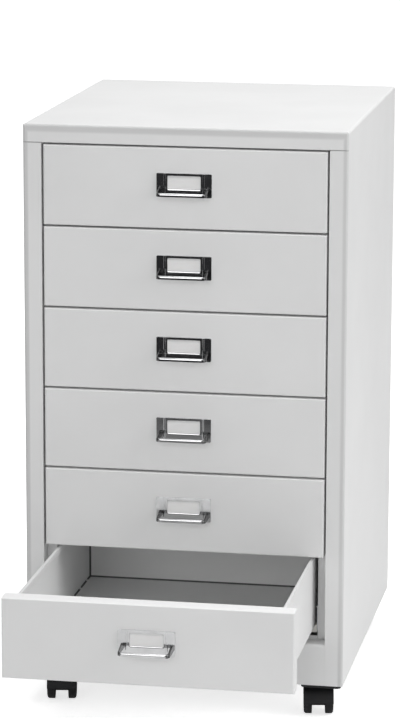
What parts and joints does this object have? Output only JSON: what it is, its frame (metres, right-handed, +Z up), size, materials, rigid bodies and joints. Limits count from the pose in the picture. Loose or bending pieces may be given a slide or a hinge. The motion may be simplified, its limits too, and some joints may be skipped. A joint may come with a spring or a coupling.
{
  "type": "rolling drawer cabinet",
  "caption": "Rolling drawer cabinet in folded sheet steel with full-width drawers, label-frame pulls and twin-wheel castors; the bottom drawer stands open.",
  "frame": {"origin": "on the floor, under the middle of the cabinet's width and of its depth with the bottom drawer open", "axes": "+Z up, +X to the right seen from the front, -Y out of the front"},
  "size_m": [0.4, 0.7202, 0.736],
  "materials": {
    "white_steel": "semi-matt powder coat",
    "chrome": "bright plated",
    "zinc_steel": "zinc plated",
    "white_nylon": "moulded, matt",
    "card": "matt",
    "black_plastic": "moulded, slightly glossy",
    "black_steel": "black enamel"
  },
  "bodies": {
    "cabinet": {"outer_wrap": "white_steel", "back_panel": "white_steel", "base_pan": "white_steel", "front_rail": "white_steel", "left_uprights": "white_steel", "right_uprights": "white_steel", "left_runners": "zinc_steel", "right_runners": "zinc_steel", "runner_guides": "white_nylon", "back_rivets": "zinc_steel", "castor_front_left_plate": "black_steel", "castor_front_right_plate": "black_steel", "castor_rear_left_plate": "black_steel", "castor_rear_right_plate": "black_steel"},
    "drawer_1": {"drawer_1_front": "white_steel", "drawer_1_tray": "white_steel", "drawer_1_pull": "chrome", "drawer_1_card": "card", "drawer_1_shoes": "white_nylon"},
    "drawer_2": {"drawer_2_front": "white_steel", "drawer_2_tray": "white_steel", "drawer_2_pull": "chrome", "drawer_2_card": "card", "drawer_2_shoes": "white_nylon"},
    "drawer_3": {"drawer_3_front": "white_steel", "drawer_3_tray": "white_steel", "drawer_3_pull": "chrome", "drawer_3_card": "card", "drawer_3_shoes": "white_nylon"},
    "drawer_4": {"drawer_4_front": "white_steel", "drawer_4_tray": "white_steel", "drawer_4_pull": "chrome", "drawer_4_card": "card", "drawer_4_shoes": "white_nylon"},
    "drawer_5": {"drawer_5_front": "white_steel", "drawer_5_tray": "white_steel", "drawer_5_pull": "chrome", "drawer_5_card": "card", "drawer_5_shoes": "white_nylon"},
    "drawer_6": {"drawer_6_front": "white_steel", "drawer_6_tray": "white_steel", "drawer_6_pull": "chrome", "drawer_6_card": "card", "drawer_6_shoes": "white_nylon"},
    "castor_front_left": {"castor_front_left_hood": "black_plastic", "castor_front_left_axle": "zinc_steel"},
    "wheel_front_left_left": {"castor_front_left_wheel_left": "black_plastic"},
    "wheel_front_left_right": {"castor_front_left_wheel_right": "black_plastic"},
    "castor_front_right": {"castor_front_right_hood": "black_plastic", "castor_front_right_axle": "zinc_steel"},
    "wheel_front_right_left": {"castor_front_right_wheel_left": "black_plastic"},
    "wheel_front_right_right": {"castor_front_right_wheel_right": "black_plastic"},
    "castor_rear_left": {"castor_rear_left_hood": "black_plastic", "castor_rear_left_axle": "zinc_steel"},
    "wheel_rear_left_left": {"castor_rear_left_wheel_left": "black_plastic"},
    "wheel_rear_left_right": {"castor_rear_left_wheel_right": "black_plastic"},
    "castor_rear_right": {"castor_rear_right_hood": "black_plastic", "castor_rear_right_axle": "zinc_steel"},
    "wheel_rear_right_left": {"castor_rear_right_wheel_left": "black_plastic"},
    "wheel_rear_right_right": {"castor_rear_right_wheel_right": "black_plastic"}
  },
  "joints": [
    {"name": "drawer_1_slide", "type": "slide", "parent": "cabinet", "child": "drawer_1", "axis": [0, -1, 0], "range_m": [0, 0.33]},
    {"name": "drawer_2_slide", "type": "slide", "parent": "cabinet", "child": "drawer_2", "axis": [0, -1, 0], "range_m": [0, 0.33]},
    {"name": "drawer_3_slide", "type": "slide", "parent": "cabinet", "child": "drawer_3", "axis": [0, -1, 0], "range_m": [0, 0.33]},
    {"name": "drawer_4_slide", "type": "slide", "parent": "cabinet", "child": "drawer_4", "axis": [0, -1, 0], "range_m": [0, 0.33]},
    {"name": "drawer_5_slide", "type": "slide", "parent": "cabinet", "child": "drawer_5", "axis": [0, -1, 0], "range_m": [0, 0.33]},
    {"name": "drawer_6_slide", "type": "slide", "parent": "cabinet", "child": "drawer_6", "axis": [0, -1, 0], "range_m": [-0.235, 0.095]},
    {"name": "castor_front_left_swivel", "type": "hinge", "parent": "cabinet", "child": "castor_front_left", "pos_m": [-0.164, -0.0591, 0.041], "axis": [0, 0, 1], "continuous": true},
    {"name": "wheel_front_left_left_roll", "type": "hinge", "parent": "castor_front_left", "child": "wheel_front_left_left", "pos_m": [-0.17529, -0.07226, 0.019], "axis": [0.9848, 0.1736, 0], "continuous": true},
    {"name": "wheel_front_left_right_roll", "type": "hinge", "parent": "castor_front_left", "child": "wheel_front_left_right", "pos_m": [-0.14889, -0.06761, 0.019], "axis": [0.9848, 0.1736, 0], "continuous": true},
    {"name": "castor_front_right_swivel", "type": "hinge", "parent": "cabinet", "child": "castor_front_right", "pos_m": [0.164, -0.0591, 0.041], "axis": [0, 0, 1], "continuous": true},
    {"name": "wheel_front_right_left_roll", "type": "hinge", "parent": "castor_front_right", "child": "wheel_front_right_left", "pos_m": [0.15271, -0.07226, 0.019], "axis": [0.9848, 0.1736, 0], "continuous": true},
    {"name": "wheel_front_right_right_roll", "type": "hinge", "parent": "castor_front_right", "child": "wheel_front_right_right", "pos_m": [0.17911, -0.06761, 0.019], "axis": [0.9848, 0.1736, 0], "continuous": true},
    {"name": "castor_rear_left_swivel", "type": "hinge", "parent": "cabinet", "child": "castor_rear_left", "pos_m": [-0.159, 0.3169, 0.041], "axis": [0, 0, 1], "continuous": true},
    {"name": "wheel_rear_left_left_roll", "type": "hinge", "parent": "castor_rear_left", "child": "wheel_rear_left_left", "pos_m": [-0.17029, 0.30374, 0.019], "axis": [0.9848, 0.1736, 0], "continuous": true},
    {"name": "wheel_rear_left_right_roll", "type": "hinge", "parent": "castor_rear_left", "child": "wheel_rear_left_right", "pos_m": [-0.14389, 0.30839, 0.019], "axis": [0.9848, 0.1736, 0], "continuous": true},
    {"name": "castor_rear_right_swivel", "type": "hinge", "parent": "cabinet", "child": "castor_rear_right", "pos_m": [0.159, 0.3169, 0.041], "axis": [0, 0, 1], "continuous": true},
    {"name": "wheel_rear_right_left_roll", "type": "hinge", "parent": "castor_rear_right", "child": "wheel_rear_right_left", "pos_m": [0.14771, 0.30374, 0.019], "axis": [0.9848, 0.1736, 0], "continuous": true},
    {"name": "wheel_rear_right_right_roll", "type": "hinge", "parent": "castor_rear_right", "child": "wheel_rear_right_right", "pos_m": [0.17411, 0.30839, 0.019], "axis": [0.9848, 0.1736, 0], "continuous": true}
  ]
}
